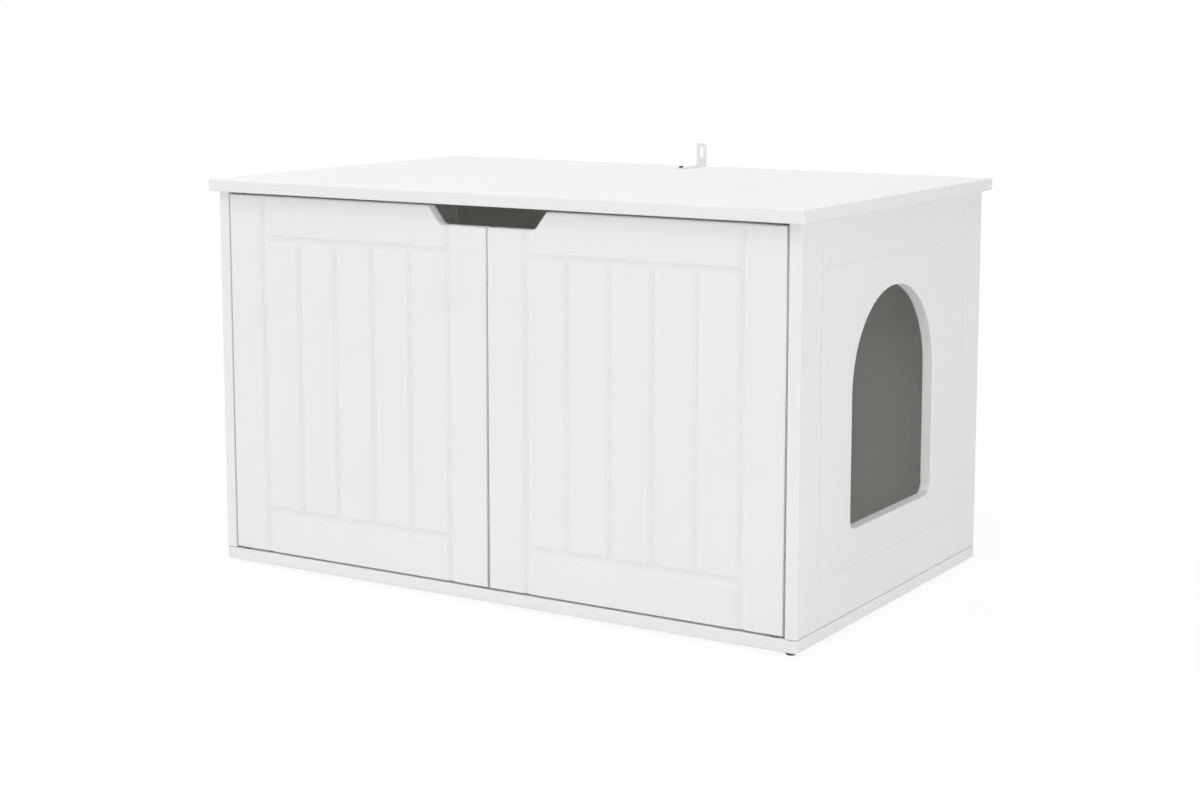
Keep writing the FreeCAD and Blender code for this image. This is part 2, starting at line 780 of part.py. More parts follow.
def cam_joints():
    # Bolt: head in the cam, thread in the top
    head_high = "cam_bolt_head_length"
    shoulder = "(cam_drop + cam_bolt_head_length / 2)"
    bolt = turned("cam_bolt", [
        (0, 0),
        ("cam_bolt_head_diameter / 2", 0),
        ("cam_bolt_head_diameter / 2", head_high),
        ("cam_bolt_neck_diameter / 2", head_high),
        ("cam_bolt_neck_diameter / 2", shoulder),
        ("cam_bolt_thread_diameter / 2", shoulder),
        ("cam_bolt_thread_diameter / 2", f"{shoulder} + cam_bolt_grip"),
        (0, f"{shoulder} + cam_bolt_grip"),
    ])
    bolt_low = f"{top_underside} - {shoulder}"
    bolts = group("cam_bolts", bolt, [(*spot, bolt_low) for spot in in_carcass(cam_plan)])

    # Lock: a drum whose chamber is open upwards for the bolt's head; its face is at local x 0
    lock = new_body("cam_lock")
    drum = sketch_in(lock, "drum", "YZ_Plane")
    circles(drum, [(0, 0)], "cam_diameter")
    pad(lock, drum, "cam_thickness")
    chamber = sketch_in(lock, "chamber", "XY_Plane", "-cam_chamber / 2")
    half = "cam_chamber / 2"
    rectangle(
        chamber,
        (f"side_thickness / 2 - {half}", f"-{half}"),
        (f"side_thickness / 2 + {half}", half),
    )
    pocket(lock, chamber, f"{half} + cam_diameter / 2 + overrun", True)
    driver_recess(lock, "YZ_Plane", "cam_recess_span", 0, True)
    turn_left = FreeCAD.Rotation(FreeCAD.Vector(0, 0, 1), 180)
    turns = [turn_left, turn_left, FreeCAD.Rotation(), FreeCAD.Rotation()]
    inner_faces = [f"{carcass_left} + side_thickness", f"-{carcass_left} - side_thickness"]
    cam_level = f"{top_underside} - cam_drop"
    rows = [f"{carcass_front} + {y}" for y in both_ends("cam_setback")]
    spots = [(x, y, cam_level) for x, y in grid(inner_faces, rows)]
    locks = group("cam_locks", lock, spots, turns)

    # Cap: a thin disc over the lock, turned to face the inside
    cap = turned("cam_cap", [
        (0, 0),
        ("cam_cap_diameter / 2", 0),
        ("cam_cap_diameter / 2", "cam_cap_thickness / 2"),
        ("cam_cap_diameter / 2 - cam_cap_thickness / 2", "cam_cap_thickness"),
        (0, "cam_cap_thickness"),
    ])
    face_right = FreeCAD.Rotation(FreeCAD.Vector(0, 1, 0), 90)
    face_left = FreeCAD.Rotation(FreeCAD.Vector(0, 1, 0), -90)
    caps = group("cam_caps", cap, spots, [face_right, face_right, face_left, face_left])
    return [bolts, locks, caps]


def dowels():
    radius = "dowel_diameter / 2"
    length = "(dowel_in_panel + dowel_in_side)"
    dowel = turned("dowel", [
        (0, 0),
        (f"{radius} - dowel_chamfer", 0),
        (radius, "dowel_chamfer"),
        (radius, f"{length} - dowel_chamfer"),
        (f"{radius} - dowel_chamfer", length),
        (0, length),
    ])
    plan = in_carcass(dowel_plan)
    top_low = f"{top_underside} - dowel_in_side"
    base_low = f"{base_face} - dowel_in_panel"
    return [
        group("top_dowels", dowel, [(*spot, top_low) for spot in plan]),
        group("base_dowels", dowel, [(*spot, base_low) for spot in plan]),
    ]


def base_screws():
    tip = "(base_thickness + base_screw_grip)"
    screw = turned("base_screw", [
        (0, 0),
        ("base_screw_head_diameter / 2", 0),
        ("base_screw_head_diameter / 2", "base_screw_head_height"),
        ("base_screw_shank_diameter / 2", "base_screw_head_height"),
        ("base_screw_shank_diameter / 2", "base_thickness"),
        ("base_screw_core_diameter / 2", "base_thickness"),
        ("base_screw_core_diameter / 2", f"{tip} - base_screw_point"),
        (0, tip),
    ])
    driver_recess(screw, "XY_Plane", "base_screw_recess_span", 0, True)
    spots = [(*spot, "glide_height") for spot in in_carcass(base_screw_plan)]
    return group("base_screws", screw, spots)


def floor_glides():
    # A plastic button on a nail, whose head sits in a well under the button
    well = "nail_head_diameter / 2 + fixed_gap"
    bore = "nail_diameter / 2 + fixed_gap"
    head_high = "(nail_head_lift + nail_head_height)"
    glide = turned("floor_glide", [
        (well, 0),
        ("glide_foot_diameter / 2", 0),
        ("glide_diameter / 2", "glide_height - glide_rim_height"),
        ("glide_diameter / 2", "glide_height"),
        (bore, "glide_height"),
        (bore, head_high),
        (well, head_high),
    ])
    tip = "(glide_height + nail_grip)"
    nail = turned("glide_nail", [
        (0, "nail_head_lift"),
        ("nail_head_diameter / 2", "nail_head_lift"),
        ("nail_head_diameter / 2", head_high),
        ("nail_diameter / 2", head_high),
        ("nail_diameter / 2", f"{tip} - nail_point"),
        (0, tip),
    ])
    spots = [(*spot, 0) for spot in in_carcass(glide_plan)]
    return [group("floor_glides", glide, spots), group("glide_nails", nail, spots)]


# Wall bracket: a strip bent up at the rear edge of the top, with a slot for a wall screw

def wall_bracket():
    body = new_body("wall_bracket")
    bend = sketch_in(body, "bend", "YZ_Plane")
    inner = "bracket_leg - bracket_thickness"
    polygon(bend, [
        (0, 0),
        ("bracket_leg", 0),
        ("bracket_leg", "bracket_height"),
        (inner, "bracket_height"),
        (inner, "bracket_thickness"),
        (0, "bracket_thickness"),
    ])
    pad(body, bend, "bracket_width")
    round_corners(body, "inner_bend", "bracket_bend_radius", bend, [4])
    round_corners(body, "outer_bend", "bracket_bend_radius + bracket_thickness", bend, [1])
    ends = sketch_in(body, "ends", "XY_Plane")
    rectangle(ends, (0, 0), ("bracket_width", "bracket_leg"))
    round_corners(body, "leg_corners", "bracket_corner_radius", ends, [0, 1])
    face = sketch_in(body, "face", "XZ_Plane")
    rectangle(face, (0, 0), ("bracket_width", "bracket_height"))
    round_corners(body, "plate_corners", "bracket_corner_radius", face, [2, 3])
    slot_middle = "(bracket_width / 2)"
    half_wide = "(bracket_slot_width / 2)"
    run = "(bracket_slot_length / 2 - bracket_slot_width / 2)"
    slot = sketch_in(body, "slot", "XZ_Plane", f"-({inner})")
    rectangle(
        slot,
        (f"{slot_middle} - {half_wide}", f"bracket_slot_lift - {run}"),
        (f"{slot_middle} + {half_wide}", f"bracket_slot_lift + {run}"),
    )
    pocket(body, slot, "bracket_thickness")
    slot_ends = sketch_in(body, "slot_ends", "XZ_Plane", f"-({inner})")
    levels = [f"bracket_slot_lift - {run}", f"bracket_slot_lift + {run}"]
    circles(slot_ends, [(slot_middle, level) for level in levels], "bracket_slot_width")
    pocket(body, slot_ends, "bracket_thickness")
    hole = sketch_in(body, "screw_hole", "XY_Plane")
    circles(hole, [(slot_middle, "bracket_screw_inset")], "screw_diameter + screw_hole_play")
    pocket(body, hole, "bracket_thickness", True)
    place(body, f"bracket_shift - {slot_middle}", "top_depth / 2 - bracket_leg", top_face)
    return body


def bracket_screw():
    screw = wood_screw("leg_screw", "bracket_thickness")
    point_down = FreeCAD.Rotation(FreeCAD.Vector(1, 0, 0), 180)
    head_high = f"{top_face} + bracket_thickness + screw_head_height"
    spot = ("bracket_shift", "top_depth / 2 - bracket_leg + bracket_screw_inset", head_high)
    return one("bracket_screw", screw, spot, point_down)


# Assembly

nodes = [
    top_panel(),
    base_panel(),
    side_panel("left_side_panel", True, False),
    side_panel("right_side_panel", False, True),
    back_panel(),
    door("left_door", True),
    door("right_door", False),
    *door_pivots(),
    *magnetic_catches(),
    *strikes(),
    *cam_joints(),
    *dowels(),
    base_screws(),
    *floor_glides(),
    wall_bracket(),
    bracket_screw(),
]
document.recompute()

for item in document.Objects:
    if "Invalid" in item.State or "Error" in item.State:
        raise ValueError(f"{item.Name} failed: {item.State}")
for node in nodes:
    if node.Shape.isNull() or not node.Shape.isValid():
        raise ValueError(f"{node.Label} has no valid shape")

os.makedirs("parts", exist_ok=True)
for node in nodes:
    node.Shape.exportStep(f"parts/{node.Label}.step")
    print(node.Label, len(node.Shape.Solids), round(node.Shape.Volume))
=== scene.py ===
import json
import math

import bmesh
import bpy
from mathutils import Euler, Matrix, Vector


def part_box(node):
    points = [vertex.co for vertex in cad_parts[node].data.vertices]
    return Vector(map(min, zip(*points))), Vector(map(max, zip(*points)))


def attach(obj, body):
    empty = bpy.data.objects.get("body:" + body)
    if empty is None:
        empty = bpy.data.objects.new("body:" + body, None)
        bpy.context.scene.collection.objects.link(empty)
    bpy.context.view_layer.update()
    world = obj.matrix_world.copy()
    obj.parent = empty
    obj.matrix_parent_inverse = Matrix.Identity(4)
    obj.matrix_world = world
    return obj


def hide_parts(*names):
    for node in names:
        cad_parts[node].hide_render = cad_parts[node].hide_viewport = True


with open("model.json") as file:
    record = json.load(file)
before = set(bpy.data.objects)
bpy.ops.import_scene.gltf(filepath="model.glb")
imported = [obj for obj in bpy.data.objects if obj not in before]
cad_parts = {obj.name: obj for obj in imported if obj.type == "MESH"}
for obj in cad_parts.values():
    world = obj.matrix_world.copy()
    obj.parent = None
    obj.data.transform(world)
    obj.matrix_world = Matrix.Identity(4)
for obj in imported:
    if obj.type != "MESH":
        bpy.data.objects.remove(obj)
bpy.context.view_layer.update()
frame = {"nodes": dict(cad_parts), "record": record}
scene = bpy.context.scene
metre = 1000  # pieces are drawn in millimetres
print("frame loaded:", len(frame["nodes"]), "nodes")


def linear(hexCode):
    # sRGB hex to the linear colour that the shaders take
    channels = [int(hexCode[i:i + 2], 16) / 255 for i in (1, 3, 5)]
    return [c / 12.92 if c <= 0.04045 else ((c + 0.055) / 1.055) ** 2.4 for c in channels] + [1]


def addNode(tree, kind, inputs=None, **settings):
    # one node: its settings, then each input as a value or as a link from another node's output
    node = tree.nodes.new(kind)
    for name, value in settings.items():
        setattr(node, name, value)
    for socket, value in (inputs or {}).items():
        if isinstance(value, bpy.types.NodeSocket):
            tree.links.new(value, node.inputs[socket])
        else:
            node.inputs[socket].default_value = value
    return node


def newMaterial(name):
    material = bpy.data.materials.new(name)
    material.use_nodes = True
    material.node_tree.nodes.clear()
    return material, material.node_tree


def perMetre(millimetres):
    # a pattern's scale on Object coordinates, from the real size of one cell
    return metre / millimetres


wavesPerUnit = math.pi / 10  # a wave texture's scale for one wave in one unit
mixShare, mixFirst, mixSecond, mixTone = 0, 6, 7, 2  # a colour mix node's inputs and its output


# Sprayed satin lacquer on fibreboard: an even white with slow clouds, a little orange peel
# that breaks up the sheen, and painted shade: greyer in the routed lines and grey in the joints
lacquer = {
    "colour": "#EDEDEC",
    "cloudColour": "#E9E9E8",
    "cloudSize": 180,
    "routedShadeColour": "#E9E9E8",  # painted shade: the routed lines are drawn greyer than the face
    "peelSize": 5,  # real peel is about 1 mm, drawn coarser so that it shows
    "peelHeight": 0.12,
    "peelStrength": 0.4,
    "roughness": (0.5, 0.6),
    "gloss": 0.2,
    "creviceShadeColour": "#83827F",
    "creviceShadeReach": 1.2,  # painted shade darkens the lacquer where another face is nearer than this
    "creviceShadeFall": 1.5,  # how fast the painted shade fades towards open faces
}


def lacqueredBoard(name, paint):
    material, tree = newMaterial(name)
    place = addNode(tree, "ShaderNodeTexCoord").outputs["Object"]
    cloud = addNode(tree, "ShaderNodeTexNoise", {
        "Vector": place, "Scale": perMetre(paint["cloudSize"]), "Detail": 3,
    }).outputs[0]
    tone = addNode(tree, "ShaderNodeMix", {
        mixShare: cloud, mixFirst: linear(paint["colour"]), mixSecond: linear(paint["cloudColour"]),
    }, data_type="RGBA").outputs[mixTone]
    # painted shade: the routed lines are drawn greyer than the face
    routed = addNode(tree, "ShaderNodeAttribute", attribute_name="routed").outputs["Fac"]
    routedShaded = addNode(tree, "ShaderNodeMix", {
        mixShare: routed, mixFirst: tone, mixSecond: linear(paint["routedShadeColour"]),
    }, data_type="RGBA").outputs[mixTone]
    # painted shade: the lacquer turns grey where another face is near, in joints, gaps and creases
    openness = addNode(tree, "ShaderNodeAmbientOcclusion", {
        "Distance": paint["creviceShadeReach"] / metre,
    }, samples=3).outputs["AO"]
    closeness = addNode(tree, "ShaderNodeMath", {
        0: 1, 1: openness,
    }, operation="SUBTRACT").outputs[0]
    creviceShade = addNode(tree, "ShaderNodeMath", {
        0: closeness, 1: paint["creviceShadeFall"],
    }, operation="POWER").outputs[0]
    creviceShaded = addNode(tree, "ShaderNodeMix", {
        mixShare: creviceShade, mixFirst: routedShaded, mixSecond: linear(paint["creviceShadeColour"]),
    }, data_type="RGBA").outputs[mixTone]
    sheen = addNode(tree, "ShaderNodeMapRange", {
        "Value": cloud, "To Min": paint["roughness"][0], "To Max": paint["roughness"][1],
    }).outputs[0]
    peel = addNode(tree, "ShaderNodeTexNoise", {
        "Vector": place, "Scale": perMetre(paint["peelSize"]), "Detail": 2,
    }).outputs[0]
    bump = addNode(tree, "ShaderNodeBump", {
        "Height": peel, "Strength": paint["peelStrength"], "Distance": paint["peelHeight"] / metre,
    }).outputs[0]
    shader = addNode(tree, "ShaderNodeBsdfPrincipled", {
        "Base Color": creviceShaded, "Roughness": sheen, "Normal": bump, "IOR": 1.5,
        "Specular IOR Level": paint["gloss"],
    })
    addNode(tree, "ShaderNodeOutputMaterial", {"Surface": shader.outputs[0]})
    return material


# Painted hardboard: flat white paint over pressed fibre, and the weave of the press screen
# on its rear
hardboard = {
    "colour": "#E8E8E6",
    "fibreColour": "#DAD9D5",
    "fibreSize": 14,
    "roughness": (0.58, 0.72),
    "gloss": 0.2,
    "screenPitch": 6,  # real screens are about 1.5 mm, drawn coarser so that the weave shows
    "screenHeight": 0.25,
    "screenStrength": 0.5,
}


def paintedHardboard(name, board, rearFrom):
    material, tree = newMaterial(name)
    place = addNode(tree, "ShaderNodeTexCoord").outputs["Object"]
    fibre = addNode(tree, "ShaderNodeTexNoise", {
        "Vector": place, "Scale": perMetre(board["fibreSize"]), "Detail": 6, "Roughness": 0.7,
    }).outputs[0]
    tone = addNode(tree, "ShaderNodeMix", {
        mixShare: fibre, mixFirst: linear(board["colour"]), mixSecond: linear(board["fibreColour"]),
    }, data_type="RGBA").outputs[mixTone]
    sheen = addNode(tree, "ShaderNodeMapRange", {
        "Value": fibre, "To Min": board["roughness"][0], "To Max": board["roughness"][1],
    }).outputs[0]
    threads = [
        addNode(tree, "ShaderNodeTexWave", {
            "Vector": place, "Scale": perMetre(board["screenPitch"]) * wavesPerUnit,
        }, bands_direction=direction).outputs["Fac"]
        for direction in ("X", "Z")
    ]
    weave = addNode(tree, "ShaderNodeMath", {
        0: threads[0], 1: threads[1],
    }, operation="MULTIPLY").outputs[0]
    depth = addNode(tree, "ShaderNodeSeparateXYZ", {0: place}).outputs["Y"]
    onRear = addNode(tree, "ShaderNodeMath", {
        0: depth, 1: rearFrom,
    }, operation="GREATER_THAN").outputs[0]
    press = addNode(tree, "ShaderNodeMath", {
        0: weave, 1: onRear,
    }, operation="MULTIPLY").outputs[0]
    bump = addNode(tree, "ShaderNodeBump", {
        "Height": press, "Strength": board["screenStrength"],
        "Distance": board["screenHeight"] / metre,
    }).outputs[0]
    shader = addNode(tree, "ShaderNodeBsdfPrincipled", {
        "Base Color": tone, "Roughness": sheen, "Normal": bump,
        "Specular IOR Level": board["gloss"],
    })
    addNode(tree, "ShaderNodeOutputMaterial", {"Surface": shader.outputs[0]})
    return material


# Metal fittings: soft crystal patches in the plating, and rolling or casting lines in the sheen
zinc = {  # bright zinc plate on pressed steel, pale and slightly blue
    "colour": "#F1F2F3",
    "patchColour": "#E5E7E9",
    "patchSize": 2.5,
    "lineSize": (0.4, 0.4, 9),
    "roughness": (0.36, 0.5),
}
castZinc = {  # die-cast zinc alloy, duller and greyer
    "colour": "#BCBEC1",
    "patchColour": "#A3A5A8",
    "patchSize": 1.2,
    "lineSize": (1.5, 1.5, 1.5),
    "roughness": (0.42, 0.6),
}
blackOxide = {  # oiled black oxide on a steel screw, nearly black with a brown cast
    "colour": "#262627",
    "patchColour": "#37342F",
    "patchSize": 0.8,
    "lineSize": (0.6, 0.6, 0.6),
    "roughness": (0.34, 0.52),
}


def metalFitting(name, metal):
    material, tree = newMaterial(name)
    place = addNode(tree, "ShaderNodeTexCoord").outputs["Object"]
    patch = addNode(tree, "ShaderNodeTexVoronoi", {
        "Vector": place, "Scale": perMetre(metal["patchSize"]),
    }, feature="SMOOTH_F1").outputs["Color"]
    tone = addNode(tree, "ShaderNodeMix", {
        mixShare: patch, mixFirst: linear(metal["colour"]), mixSecond: linear(metal["patchColour"]),
    }, data_type="RGBA").outputs[mixTone]
    lined = addNode(tree, "ShaderNodeMapping", {
        "Vector": place, "Scale": [perMetre(size) for size in metal["lineSize"]],
    }).outputs[0]
    line = addNode(tree, "ShaderNodeTexNoise", {
        "Vector": lined, "Scale": 1, "Detail": 3,
    }).outputs[0]
    dull = addNode(tree, "ShaderNodeMapRange", {
        "Value": line, "To Min": metal["roughness"][0], "To Max": metal["roughness"][1],
    }).outputs[0]
    shader = addNode(tree, "ShaderNodeBsdfPrincipled", {
        "Base Color": tone, "Metallic": 1, "Roughness": dull,
    })
    addNode(tree, "ShaderNodeOutputMaterial", {"Surface": shader.outputs[0]})
    return material


# Moulded plastic: an even colour with pale flow clouds and a fine spark-eroded grain
polypropylene = {  # waxy white
    "colour": "#E9E9E7",
    "flowColour": "#DFDFDC",
    "flowSize": 12,
    "roughness": (0.36, 0.48),
}
nylon = {  # black, a little duller
    "colour": "#1B1B1C",
    "flowColour": "#29292A",
    "flowSize": 4,
    "roughness": (0.42, 0.58),
}
acetal = {  # mid grey, slightly slick
    "colour": "#77787A",
    "flowColour": "#6A6B6D",
    "flowSize": 4,
    "roughness": (0.36, 0.5),
}
grain = {
    "size": 0.8,  # spark grain is about 0.1 mm, drawn coarser so that it shows
    "height": 0.04,
    "strength": 0.4,
}


def mouldedPlastic(name, plastic):
    material, tree = newMaterial(name)
    place = addNode(tree, "ShaderNodeTexCoord").outputs["Object"]
    flow = addNode(tree, "ShaderNodeTexNoise", {
        "Vector": place, "Scale": perMetre(plastic["flowSize"]), "Detail": 2,
    }).outputs[0]
    tone = addNode(tree, "ShaderNodeMix", {
        mixShare: flow,
        mixFirst: linear(plastic["colour"]), mixSecond: linear(plastic["flowColour"]),
    }, data_type="RGBA").outputs[mixTone]
    sheen = addNode(tree, "ShaderNodeMapRange", {
        "Value": flow, "To Min": plastic["roughness"][0], "To Max": plastic["roughness"][1],
    }).outputs[0]
    spark = addNode(tree, "ShaderNodeTexNoise", {
        "Vector": place, "Scale": perMetre(grain["size"]), "Detail": 2,
    }).outputs[0]
    bump = addNode(tree, "ShaderNodeBump", {
        "Height": spark, "Strength": grain["strength"], "Distance": grain["height"] / metre,
    }).outputs[0]
    shader = addNode(tree, "ShaderNodeBsdfPrincipled", {
        "Base Color": tone, "Roughness": sheen, "Normal": bump, "IOR": 1.5,
    })
    addNode(tree, "ShaderNodeOutputMaterial", {"Surface": shader.outputs[0]})
    return material


# Sintered ferrite: charcoal ceramic, matt, with a speckle of pressed grains
ferrite = {
    "colour": "#343332",
    "speckColour": "#5B5853",
    "speckSize": 0.9,
    "roughness": 0.68,
}


def sinteredFerrite(name):
    material, tree = newMaterial(name)
    place = addNode(tree, "ShaderNodeTexCoord").outputs["Object"]
    speck = addNode(tree, "ShaderNodeTexNoise", {
        "Vector": place, "Scale": perMetre(ferrite["speckSize"]), "Detail": 4, "Roughness": 0.8,
    }).outputs[0]
    tone = addNode(tree, "ShaderNodeMix", {
        mixShare: speck,
        mixFirst: linear(ferrite["colour"]), mixSecond: linear(ferrite["speckColour"]),
    }, data_type="RGBA").outputs[mixTone]
    shader = addNode(tree, "ShaderNodeBsdfPrincipled", {
        "Base Color": tone, "Roughness": ferrite["roughness"],
    })
    addNode(tree, "ShaderNodeOutputMaterial", {"Surface": shader.outputs[0]})
    return material


# Turned beech: pale pinkish brown, grain along the dowel and short dark rays
beech = {
    "colour": "#CFAB80",
    "grainColour": "#BC9365",
    "rayColour": "#A27648",
    "grainSize": (1.4, 1.4, 22),
    "raySize": (0.5, 0.5, 2.6),
    "rayShare": (0.62, 0.72),  # a ray fades in between these values of its noise
    "roughness": 0.58,
}


def turnedBeech(name):
    material, tree = newMaterial(name)
    place = addNode(tree, "ShaderNodeTexCoord").outputs["Object"]
    noises = []
    for size in (beech["grainSize"], beech["raySize"]):
        along = addNode(tree, "ShaderNodeMapping", {
            "Vector": place, "Scale": [perMetre(step) for step in size],
        }).outputs[0]
        noises.append(addNode(tree, "ShaderNodeTexNoise", {"Vector": along, "Scale": 1}).outputs[0])
    wood = addNode(tree, "ShaderNodeMix", {
        mixShare: noises[0],
        mixFirst: linear(beech["colour"]), mixSecond: linear(beech["grainColour"]),
    }, data_type="RGBA").outputs[mixTone]
    ray = addNode(tree, "ShaderNodeMapRange", {
        "Value": noises[1], "From Min": beech["rayShare"][0], "From Max": beech["rayShare"][1],
    }).outputs[0]
    tone = addNode(tree, "ShaderNodeMix", {
        mixShare: ray, mixFirst: wood, mixSecond: linear(beech["rayColour"]),
    }, data_type="RGBA").outputs[mixTone]
    shader = addNode(tree, "ShaderNodeBsdfPrincipled", {
        "Base Color": tone, "Roughness": beech["roughness"],
    })
    addNode(tree, "ShaderNodeOutputMaterial", {"Surface": shader.outputs[0]})
    return material


# Painted light: the same lacquer, drawn whiter over the cut edge of the entry so that the jambs and
# the arch look more lit
paintedLightLacquer = {**lacquer, "colour": "#F8F8F7", "cloudColour": "#F4F4F3"}
paintedLightEdge = lacqueredBoard("paintedLightEdge", paintedLightLacquer)

backLow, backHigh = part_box("back_panel")
finishes = {
    "white_board": lacqueredBoard("satinLacquer", lacquer),
    "white_back": paintedHardboard("paintedHardboard", hardboard, (backLow.y + backHigh.y) / 2),
    "zinc_steel": metalFitting("zincPlate", zinc),
    "cast_zinc": metalFitting("dieCastZinc", castZinc),
    "black_steel": metalFitting("blackOxide", blackOxide),
    "white_plastic": mouldedPlastic("whitePolypropylene", polypropylene),
    "black_plastic": mouldedPlastic("blackNylon", nylon),
    "grey_plastic": mouldedPlastic("greyAcetal", acetal),
    "ferrite": sinteredFerrite("sinteredFerrite"),
    "beech": turnedBeech("turnedBeech"),
}
slotOf = {}
for part in frame["record"]["subparts"]:
    slotOf[part["node"]] = part["material_slot"]
    for slot in frame["nodes"][part["node"]].material_slots:
        slot.material = finishes[part["material_slot"]]
print("finishes assigned")


# Boards are drawn upright in XZ, in millimetres, with the front at y 0, and then turned and
# moved to the CAD board's place
sameSpot = 0.01
cutReach = 0.001  # a cut that passes a vertex this closely goes through it
flatShare = 0.5  # a front or rear face has more of its normal than this along Y
frontShare = 0.7  # so has the front with the shallow walls of its routed lines
rimShare = 0.6  # of the steepest wall: a routed line's rim bends by more, its facets by less
hardAngle = math.radians(35)  # a sharper edge is shaded as a crease
cornerAngle = math.radians(60)  # two edge faces of a board meet at more than this
easeSegments = 3


def cutOffsets(routing):
    # where the cut's facets meet, across a line made by a round-nosed cutter
    radius = routing["cutter"] / 2
    reach = math.acos(1 - routing["depth"] / radius)
    facets = routing["facets"]
    return [radius * math.sin(reach * (2 * n / facets - 1)) for n in range(facets + 1)]


def cutDepth(routing, offset):
    # how deep the cut is at this distance from the middle of its line
    radius = routing["cutter"] / 2
    return max(0, math.sqrt(max(0, radius ** 2 - offset ** 2)) - radius + routing["depth"])


def rout(bm, axis, line, offsets, low, high):
    # the cuts for one line, in the faces from low to high along it
    # an upright line is placed on axis 0, a level one on axis 2
    along = 2 - axis
    for offset in offsets:
        faces = [face for face in bm.faces if low < face.calc_center_median()[along] < high]
        edges = {edge for face in faces for edge in face.edges}
        verts = {vert for face in faces for vert in face.verts}
        spot, normal = Vector(), Vector()
        spot[axis], normal[axis] = line + offset, 1
        bmesh.ops.bisect_plane(
            bm, geom=[*faces, *edges, *verts], dist=cutReach, plane_co=spot, plane_no=normal,
        )


def mitre(bm, spots):
    # a crease from spot to spot, where one line runs into the side of another
    def vertAt(spot):
        return min(bm.verts, key=lambda vert: math.hypot(vert.co.x - spot[0], vert.co.z - spot[1]))

    for start, end in zip(spots, spots[1:]):
        bmesh.ops.connect_verts(bm, verts=[vertAt(start), vertAt(end)])


def routedFrame(bm, width, height, routing):
    # stiles over the full height, rails between them, planks between the rails
    # returns the function that gives the depth at a spot
    offsets = cutOffsets(routing)
    outward = [offset for offset in offsets if offset > -sameSpot]
    margin = routing["frameWidth"]
    stiles = (margin, width - margin)
    rails = (margin, height - margin)
    step = (width - 2 * margin) / routing["planks"]
    planks = [margin + step * n for n in range(1, routing["planks"])]
    for line in stiles:
        rout(bm, 0, line, offsets, -math.inf, math.inf)
    for line in rails:
        rout(bm, 2, line, offsets, *stiles)
    for line in planks:
        rout(bm, 0, line, offsets, *rails)
    for side in (1, -1):
        for stile, inward in zip(stiles, (1, -1)):
            for rail in rails:
                mitre(bm, [(stile + inward * offset, rail + side * offset) for offset in outward])
        for rail, inward in zip(rails, (1, -1)):
            for plank in planks:
                mitre(bm, [(plank + side * offset, rail + inward * offset) for offset in outward])

    def depthAt(spot):
        lines = [spot.x - stile for stile in stiles]
        if stiles[0] - sameSpot < spot.x < stiles[1] + sameSpot:
            lines += [spot.z - rail for rail in rails]
        if rails[0] - sameSpot < spot.z < rails[1] + sameSpot:
            lines += [spot.x - plank for plank in planks]
        return max(cutDepth(routing, offset) for offset in lines)

    return depthAt


def thicken(bm, thickness, depthAt):
    # sheet to board; the routed lines sink into the front, and are marked for the painted shade in
    # the lacquer
    routed = bm.verts.layers.float.new("routed")
    front = bm.verts[:]
    grown = bmesh.ops.extrude_face_region(bm, geom=bm.faces[:])["geom"]
    rear = [item for item in grown if isinstance(item, bmesh.types.BMVert)]
    bmesh.ops.translate(bm, verts=rear, vec=(0, thickness, 0))
    for vert in front:
        vert.co.y = depthAt(vert.co)
        vert[routed] = float(vert.co.y > sameSpot)
    bmesh.ops.recalc_face_normals(bm, faces=bm.faces[:])


def isRoutedRim(edge, routing):
    # where a routed line breaks the front face
    facing = all(face.normal.y < -frontShare for face in edge.link_faces)
    steepest = math.acos(1 - 2 * routing["depth"] / routing["cutter"])
    return facing and edge.calc_face_angle(0) > rimShare * steepest


def easeEdges(bm, radiusOf, widest):
    # weights for the bevel modifier, as shares of its width; other hard edges stay sharp
    weight = bm.edges.layers.float.new("bevel_weight_edge")
    for edge in bm.edges:
        edge[weight] = radiusOf(edge) / widest
        edge.smooth = edge[weight] > 0 or edge.calc_face_angle(0) < hardAngle
    for face in bm.faces:
        face.smooth = True


def boardPiece(bm, name, node, body, widest, turn, corner):
    # the finished board, in the place of its CAD node
    bmesh.ops.transform(bm, verts=bm.verts[:], matrix=(
        Matrix.Translation(corner) @ Matrix.Rotation(turn, 4, "Z") @ Matrix.Scale(1 / metre, 4)
    ))
    mesh = bpy.data.meshes.new(name)
    bm.to_mesh(mesh)
    bm.free()
    piece = bpy.data.objects.new(name, mesh)
    scene.collection.objects.link(piece)
    mesh.materials.append(finishes[slotOf[node]])
    ease = piece.modifiers.new("easedEdges", "BEVEL")
    ease.limit_method = "WEIGHT"
    ease.offset_type = "OFFSET"
    ease.width = widest / metre
    ease.segments = easeSegments
    ease.harden_normals = True
    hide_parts(node)
    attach(piece, body)
    return piece


def nodeSize(node):
    # a CAD node's corners in metres, and its size in millimetres
    low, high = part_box(node)
    return low, high, (high - low) * metre


def isRim(edge):
    # between the front or rear and an edge face of the board
    flats = [abs(face.normal.y) > flatShare for face in edge.link_faces]
    return any(flats) and not all(flats)


# Top and base: plain boards with eased edges
plainBoard = {"easeRadius": 1.5}


def plainPiece(name, node):
    low, _, size = nodeSize(node)
    bm = bmesh.new()
    bmesh.ops.create_cube(bm, size=1)
    bmesh.ops.scale(bm, vec=size, verts=bm.verts[:])
    bmesh.ops.translate(bm, vec=size / 2, verts=bm.verts[:])
    easeEdges(bm, lambda edge: plainBoard["easeRadius"], plainBoard["easeRadius"])
    return boardPiece(bm, name, node, "cabinet", plainBoard["easeRadius"], 0, low)


plainPiece("topBoard", "top_panel")
plainPiece("baseBoard", "base_panel")

